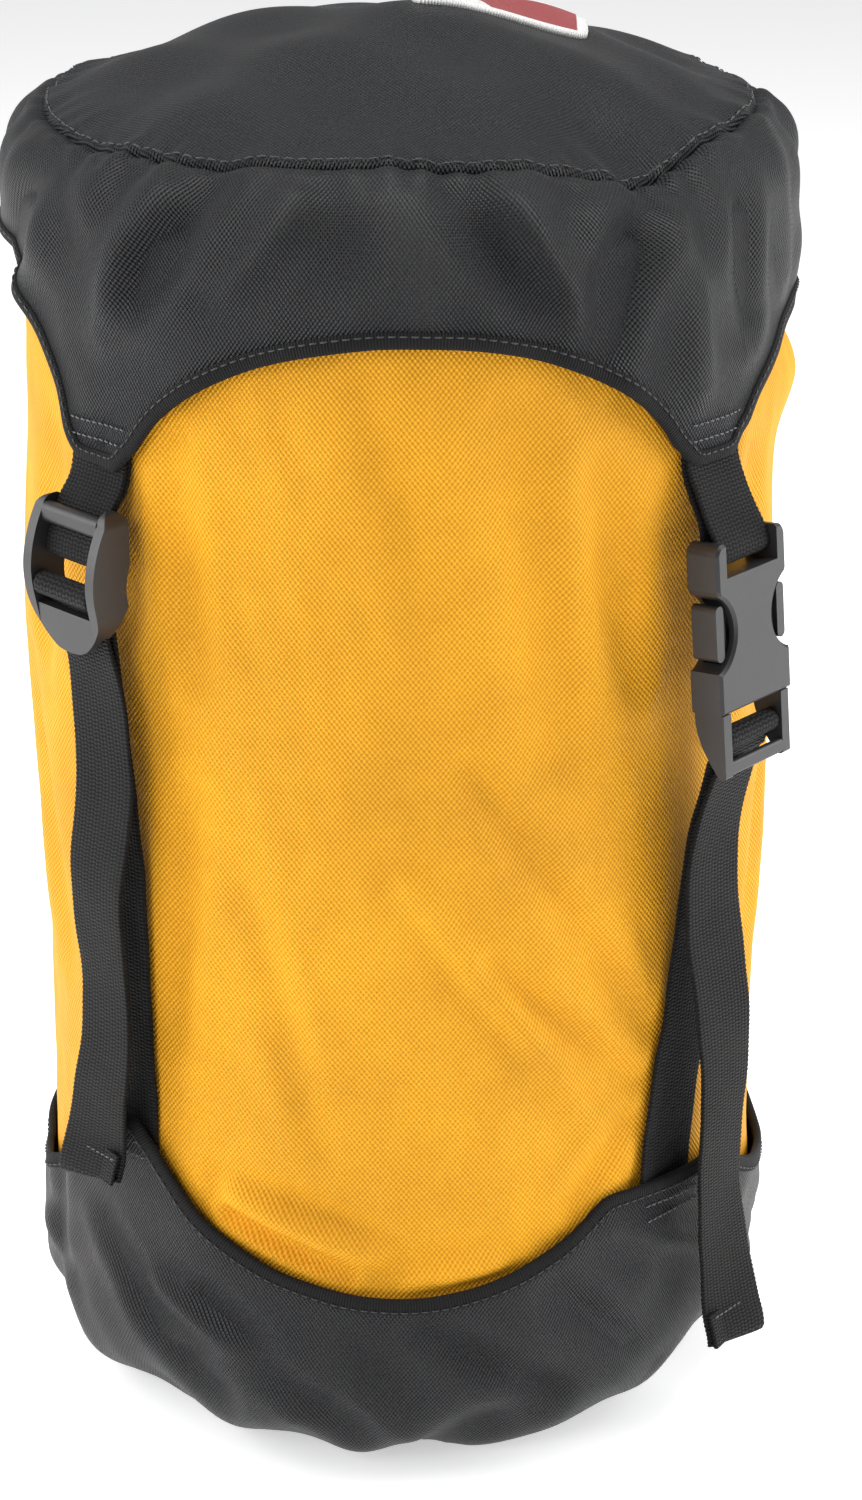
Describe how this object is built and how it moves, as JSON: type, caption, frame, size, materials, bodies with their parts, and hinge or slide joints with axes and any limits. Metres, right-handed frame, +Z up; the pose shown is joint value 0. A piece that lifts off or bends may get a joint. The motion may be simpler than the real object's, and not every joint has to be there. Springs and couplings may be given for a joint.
{
  "type": "compression sack",
  "caption": "Stuffed cylindrical compression sack with a buckled lid, scalloped base and webbing straps that press the lid down.",
  "frame": {"origin": "centre of the flat bottom of the base, at the level that the sack stands on", "axes": "+Z up along the sack, -Y out of the side that the picture shows, +X to that side's right, where the side-release buckles are"},
  "size_m": [0.2469, 0.2468, 0.4518],
  "materials": {
    "yellow_fabric": "fine honeycomb-weave coated polyester, soft sheen",
    "black_fabric": "charcoal basket-weave coated nylon with a grey sheen",
    "binding_tape": "narrow black woven tape",
    "black_webbing": "ribbed black one-inch webbing",
    "black_plastic": "satin moulded plastic",
    "badge": "embroidered patch, red and white",
    "eyelet_metal": "small rolled eyelet",
    "load_fabric": "packed soft load inside the sack"
  },
  "bodies": {
    "sack": {"stuffed_load": "load_fabric", "body_tube": "yellow_fabric", "drawcord_channel": "yellow_fabric", "channel_eyelet": "eyelet_metal", "base_disc": "black_fabric", "base_skirt": "black_fabric", "base_binding": "binding_tape", "standing_strap_left_front": "black_webbing", "standing_strap_left_back": "black_webbing", "standing_strap_right_front": "black_webbing", "standing_strap_right_back": "black_webbing", "strap_tail_left_front": "black_webbing", "strap_tail_left_back": "black_webbing", "strap_tail_right_front": "black_webbing", "strap_tail_right_back": "black_webbing"},
    "hinge_straps": {"lid_loop_left_front": "black_webbing", "lid_loop_left_back": "black_webbing"},
    "lid": {"lid_disc": "black_fabric", "lid_skirt": "black_fabric", "lid_binding": "binding_tape", "lid_badge": "badge", "lid_loop_right_front": "black_webbing", "lid_loop_right_back": "black_webbing", "buckle_socket_front": "black_plastic", "buckle_socket_back": "black_plastic"},
    "lock_front": {"ladder_lock_front": "black_plastic", "strap_wrap_left_front": "black_webbing"},
    "plug_front": {"buckle_plug_front": "black_plastic", "strap_wrap_right_front": "black_webbing"},
    "arm_left_front": {"plug_arm_left_front": "black_plastic"},
    "arm_right_front": {"plug_arm_right_front": "black_plastic"},
    "lock_back": {"ladder_lock_back": "black_plastic", "strap_wrap_left_back": "black_webbing"},
    "plug_back": {"buckle_plug_back": "black_plastic", "strap_wrap_right_back": "black_webbing"},
    "arm_left_back": {"plug_arm_left_back": "black_plastic"},
    "arm_right_back": {"plug_arm_right_back": "black_plastic"}
  },
  "joints": [
    {"name": "compress", "type": "slide", "parent": "sack", "child": "hinge_straps", "axis": [0, 0, -1], "range_m": [0, 0.12], "deforming": ["stuffed_load", "body_tube", "drawcord_channel", "channel_eyelet", "standing_strap_left_front", "standing_strap_left_back", "standing_strap_right_front", "standing_strap_right_back", "strap_tail_left_front", "strap_tail_left_back", "strap_tail_right_front", "strap_tail_right_back", "lid_loop_left_front", "lid_loop_left_back"]},
    {"name": "lid_open", "type": "hinge", "parent": "hinge_straps", "child": "lid", "pos_m": [-0.096, 0, 0.325], "axis": [0, -1, 0], "range_deg": [0, 90]},
    {"name": "lock_tilt_front", "type": "hinge", "parent": "hinge_straps", "child": "lock_front", "pos_m": [-0.09449, -0.08811, 0.3045], "axis": [-0.682, 0.7314, 0], "range_deg": [0, 30]},
    {"name": "release_front", "type": "slide", "parent": "hinge_straps", "child": "plug_front", "axis": [0.0668, -0.056, -0.9962], "range_m": [0, 0.036]},
    {"name": "squeeze_left_front", "type": "hinge", "parent": "plug_front", "child": "arm_left_front", "pos_m": [0.09773, -0.09297, 0.26151], "axis": [0.7631, -0.6403, 0.0872], "range_deg": [-7, 0], "stiffness_Nm_per_rad": 0.05, "deforming": ["plug_arm_left_front"]},
    {"name": "squeeze_right_front", "type": "hinge", "parent": "plug_front", "child": "arm_right_front", "pos_m": [0.10853, -0.0801, 0.26151], "axis": [0.7631, -0.6403, 0.0872], "range_deg": [0, 7], "stiffness_Nm_per_rad": 0.05, "deforming": ["plug_arm_right_front"]},
    {"name": "lock_tilt_back", "type": "hinge", "parent": "hinge_straps", "child": "lock_back", "pos_m": [-0.09449, 0.08811, 0.3045], "axis": [0.682, 0.7314, 0], "range_deg": [0, 30]},
    {"name": "release_back", "type": "slide", "parent": "hinge_straps", "child": "plug_back", "axis": [0.0668, 0.056, -0.9962], "range_m": [0, 0.036]},
    {"name": "squeeze_left_back", "type": "hinge", "parent": "plug_back", "child": "arm_left_back", "pos_m": [0.10853, 0.0801, 0.26151], "axis": [0.7631, 0.6403, 0.0872], "range_deg": [-7, 0], "stiffness_Nm_per_rad": 0.05, "deforming": ["plug_arm_left_back"]},
    {"name": "squeeze_right_back", "type": "hinge", "parent": "plug_back", "child": "arm_right_back", "pos_m": [0.09773, 0.09297, 0.26151], "axis": [0.7631, 0.6403, 0.0872], "range_deg": [0, 7], "stiffness_Nm_per_rad": 0.05, "deforming": ["plug_arm_right_back"]}
  ],
  "couplings": [
    {"joint": "squeeze_right_front", "follows": "squeeze_left_front", "ratio": -1},
    {"joint": "squeeze_right_back", "follows": "squeeze_left_back", "ratio": -1}
  ]
}
